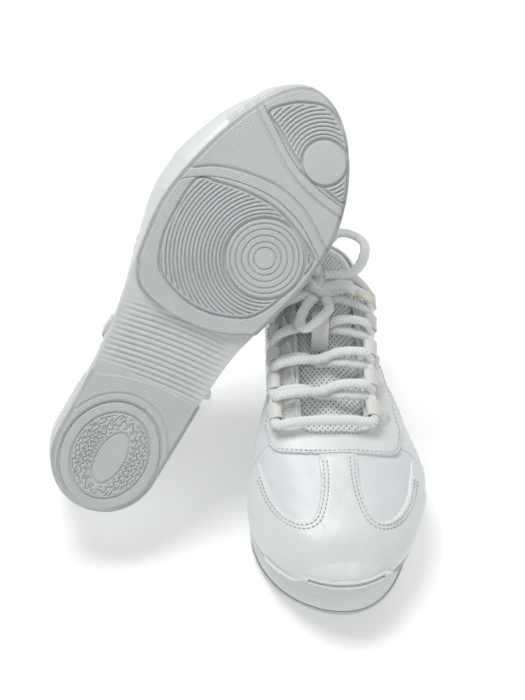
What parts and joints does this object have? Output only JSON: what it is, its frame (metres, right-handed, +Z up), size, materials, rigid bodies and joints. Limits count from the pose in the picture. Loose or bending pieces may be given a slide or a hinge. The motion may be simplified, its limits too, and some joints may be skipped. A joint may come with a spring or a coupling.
{
  "type": "cheer shoes",
  "caption": "Pair of low-cut lace-up cheer shoes with webbing lace loops and ribbed rubber soles; one stands and the other leans on it with its sole outwards.",
  "frame": {"origin": "middle of the standing shoe's heel pod, on the surface it stands on", "axes": "+Z up; the standing shoe's toe points to -Y, turned 3.2 degrees about +Z"},
  "size_m": [0.2117, 0.2634, 0.2166],
  "materials": {
    "rubber": "moulded, matt",
    "foam": "moulded foam, smooth",
    "leather": "coated, fine grain, semi-matt",
    "overlay": "coated, smooth, semi-gloss",
    "lining": "brushed knit",
    "board": "pressed fibre",
    "plastic": "matt",
    "mesh": "open spacer mesh",
    "webbing": "satin webbing",
    "lace": "soft flat braid",
    "tip": "moulded, satin"
  },
  "bodies": {
    "left_shoe": {"left_aglet_a": "tip", "left_aglet_b": "tip", "left_ball_disc": "rubber", "left_bow_loop_a": "lace", "left_bow_loop_b": "lace", "left_collar_pad": "lining", "left_eyestay": "overlay", "left_heel_counter": "overlay", "left_heel_pod": "rubber", "left_heel_stiffener": "plastic", "left_lace": "lace", "left_lace_end_a": "lace", "left_lace_end_b": "lace", "left_lace_loops_lateral": "webbing", "left_lace_loops_medial": "webbing", "left_midsole": "foam", "left_outsole_ball": "rubber", "left_outsole_bridge": "rubber", "left_outsole_heel": "rubber", "left_outsole_toe": "rubber", "left_quarter_lateral": "leather", "left_quarter_medial": "leather", "left_sockliner": "lining", "left_strobel_board": "board", "left_toe_bumper": "rubber", "left_toe_cap": "overlay", "left_toe_disc": "rubber", "left_vamp": "leather"},
    "left_tongue": {"left_tongue": "mesh", "left_tongue_keeper": "webbing"},
    "right_shoe": {"right_aglet_a": "tip", "right_aglet_b": "tip", "right_ball_disc": "rubber", "right_bow_loop_a": "lace", "right_bow_loop_b": "lace", "right_collar_pad": "lining", "right_eyestay": "overlay", "right_heel_counter": "overlay", "right_heel_pod": "rubber", "right_heel_stiffener": "plastic", "right_lace": "lace", "right_lace_end_a": "lace", "right_lace_end_b": "lace", "right_lace_loops_lateral": "webbing", "right_lace_loops_medial": "webbing", "right_midsole": "foam", "right_outsole_ball": "rubber", "right_outsole_bridge": "rubber", "right_outsole_heel": "rubber", "right_outsole_toe": "rubber", "right_quarter_lateral": "leather", "right_quarter_medial": "leather", "right_sockliner": "lining", "right_strobel_board": "board", "right_toe_bumper": "rubber", "right_toe_cap": "overlay", "right_toe_disc": "rubber", "right_vamp": "leather"},
    "right_tongue": {"right_tongue": "mesh", "right_tongue_keeper": "webbing"}
  },
  "joints": [
    {"name": "right_shoe_lift", "type": "slide", "parent": "left_shoe", "child": "right_shoe", "axis": [0, 0, 1], "range_m": [0, 0.15]},
    {"name": "left_tongue_press", "type": "hinge", "parent": "left_shoe", "child": "left_tongue", "pos_m": [0.00898, -0.14272, 0.06], "axis": [-0.9984, -0.0558, 0], "range_deg": [0, 1], "stiffness_Nm_per_rad": 1.2, "springref_deg": -1.15},
    {"name": "right_tongue_press", "type": "hinge", "parent": "right_shoe", "child": "right_tongue", "pos_m": [-0.0491, -0.03226, 0.13045], "axis": [-0.8504, 0.1816, 0.4939], "range_deg": [0, 1], "stiffness_Nm_per_rad": 1.2, "springref_deg": -1.15}
  ]
}
